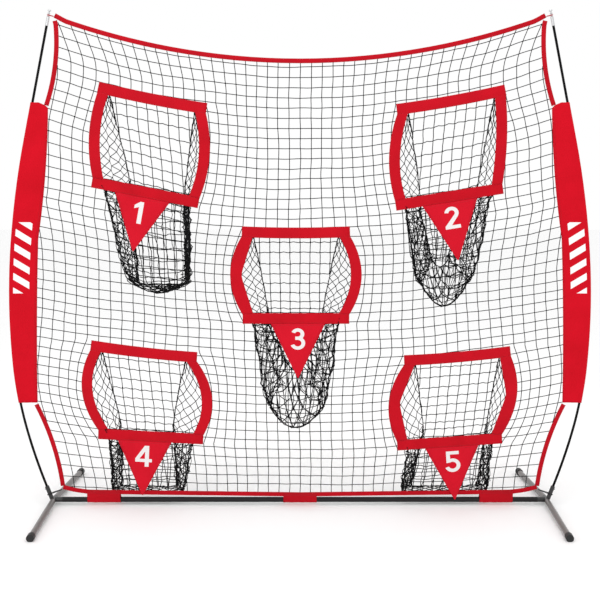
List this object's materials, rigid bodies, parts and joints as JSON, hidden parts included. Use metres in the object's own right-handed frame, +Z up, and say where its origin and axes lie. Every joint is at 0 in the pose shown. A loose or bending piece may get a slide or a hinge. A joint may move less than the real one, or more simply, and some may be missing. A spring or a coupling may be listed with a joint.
{
  "type": "pitching target net",
  "caption": "Free-standing bow net on a take-apart steel base, with numbered fabric pockets that catch pitched balls.",
  "frame": {"origin": "on the floor, midway between the four feet", "axes": "+X to the thrower's right along the ground bar, +Y away from the thrower, +Z up"},
  "size_m": [2.8684, 1.0318, 2.439],
  "materials": {
    "gunmetal_paint": "gloss",
    "black_paint": "satin",
    "cap_plastic": "matte",
    "zinc_steel": "satin",
    "ferrule_steel": "satin",
    "pole_fibreglass": "satin",
    "net_cord": "matte",
    "sleeve_fabric": "matte",
    "elastic_cord": "matte",
    "loop_cord": "matte",
    "flag_fabric": "matte",
    "red_webbing": "matte"
  },
  "bodies": {
    "frame": {"bar_band_centre": "red_webbing", "bar_band_left": "red_webbing", "bar_band_right": "red_webbing", "base_bar_left": "black_paint", "base_bar_right": "black_paint", "bottom_loop_left": "elastic_cord", "bottom_loop_right": "elastic_cord", "bottom_tape": "red_webbing", "corner_fitting_left": "gunmetal_paint", "corner_fitting_right": "gunmetal_paint", "front_cap_left": "cap_plastic", "front_cap_right": "cap_plastic", "front_leg_left": "gunmetal_paint", "front_leg_right": "gunmetal_paint", "net_panel": "net_cord", "pocket_bag_1": "net_cord", "pocket_bag_2": "net_cord", "pocket_bag_3": "net_cord", "pocket_bag_4": "net_cord", "pocket_bag_5": "net_cord", "pocket_rim_1": "red_webbing", "pocket_rim_2": "red_webbing", "pocket_rim_3": "red_webbing", "pocket_rim_4": "red_webbing", "pocket_rim_5": "red_webbing", "pole_ferrules": "ferrule_steel", "pole_lower_left": "pole_fibreglass", "pole_lower_right": "pole_fibreglass", "pole_middle_left": "pole_fibreglass", "pole_middle_right": "pole_fibreglass", "pole_tip_left": "ferrule_steel", "pole_tip_right": "ferrule_steel", "pole_upper_left": "pole_fibreglass", "pole_upper_right": "pole_fibreglass", "rear_cap_left": "cap_plastic", "rear_cap_right": "cap_plastic", "rear_leg_left": "gunmetal_paint", "rear_leg_right": "gunmetal_paint", "side_tape_left": "red_webbing", "side_tape_right": "red_webbing", "sleeve_left": "sleeve_fabric", "sleeve_right": "sleeve_fabric", "snap_springs": "zinc_steel", "socket_screws": "zinc_steel", "top_loop_left": "loop_cord", "top_loop_right": "loop_cord", "top_tape": "red_webbing"},
    "snap_button_bar_centre": {"snap_button_bar_centre": "zinc_steel"},
    "snap_button_bar_left": {"snap_button_bar_left": "zinc_steel"},
    "snap_button_bar_right": {"snap_button_bar_right": "zinc_steel"},
    "snap_button_front_left": {"snap_button_front_left": "zinc_steel"},
    "snap_button_front_right": {"snap_button_front_right": "zinc_steel"},
    "snap_button_rear_left": {"snap_button_rear_left": "zinc_steel"},
    "snap_button_rear_right": {"snap_button_rear_right": "zinc_steel"},
    "flag_1": {"flag_1": "flag_fabric"},
    "flag_2": {"flag_2": "flag_fabric"},
    "flag_3": {"flag_3": "flag_fabric"},
    "flag_4": {"flag_4": "flag_fabric"},
    "flag_5": {"flag_5": "flag_fabric"}
  },
  "joints": [
    {"name": "snap_button_bar_centre_press", "type": "slide", "parent": "frame", "child": "snap_button_bar_centre", "axis": [0, -1, 0], "range_m": [0, 0.004], "stiffness_N_per_m": 600, "springref_m": -0.002},
    {"name": "snap_button_bar_left_press", "type": "slide", "parent": "frame", "child": "snap_button_bar_left", "axis": [0, -1, 0], "range_m": [0, 0.004], "stiffness_N_per_m": 600, "springref_m": -0.002},
    {"name": "snap_button_bar_right_press", "type": "slide", "parent": "frame", "child": "snap_button_bar_right", "axis": [0, -1, 0], "range_m": [0, 0.004], "stiffness_N_per_m": 600, "springref_m": -0.002},
    {"name": "snap_button_front_left_press", "type": "slide", "parent": "frame", "child": "snap_button_front_left", "axis": [0.9989, 0.0465, 0.0009], "range_m": [0, 0.004], "stiffness_N_per_m": 600, "springref_m": -0.002},
    {"name": "snap_button_front_right_press", "type": "slide", "parent": "frame", "child": "snap_button_front_right", "axis": [-0.9989, 0.0465, 0.0009], "range_m": [0, 0.004], "stiffness_N_per_m": 600, "springref_m": -0.002},
    {"name": "snap_button_rear_left_press", "type": "slide", "parent": "frame", "child": "snap_button_rear_left", "axis": [0.9989, -0.0465, 0.0009], "range_m": [0, 0.004], "stiffness_N_per_m": 600, "springref_m": -0.002},
    {"name": "snap_button_rear_right_press", "type": "slide", "parent": "frame", "child": "snap_button_rear_right", "axis": [-0.9989, -0.0465, 0.0009], "range_m": [0, 0.004], "stiffness_N_per_m": 600, "springref_m": -0.002},
    {"name": "flag_1_swing", "type": "hinge", "parent": "frame", "child": "flag_1", "pos_m": [-0.75662, -0.02025, 1.54771], "axis": [-0.9816, 0, 0.1908], "range_deg": [0, 90]},
    {"name": "flag_2_swing", "type": "hinge", "parent": "frame", "child": "flag_2", "pos_m": [0.72968, -0.02025, 1.52635], "axis": [-0.9877, 0, -0.1564], "range_deg": [0, 90]},
    {"name": "flag_3_swing", "type": "hinge", "parent": "frame", "child": "flag_3", "pos_m": [-0.02, -0.02025, 0.9288], "axis": [-1, 0, 0], "range_deg": [0, 90]},
    {"name": "flag_4_swing", "type": "hinge", "parent": "frame", "child": "flag_4", "pos_m": [-0.74949, -0.02025, 0.33153], "axis": [-0.9986, 0, 0.0523], "range_deg": [0, 90]},
    {"name": "flag_5_swing", "type": "hinge", "parent": "frame", "child": "flag_5", "pos_m": [0.75226, -0.02025, 0.30414], "axis": [-0.9976, 0, -0.0698], "range_deg": [0, 90]}
  ]
}
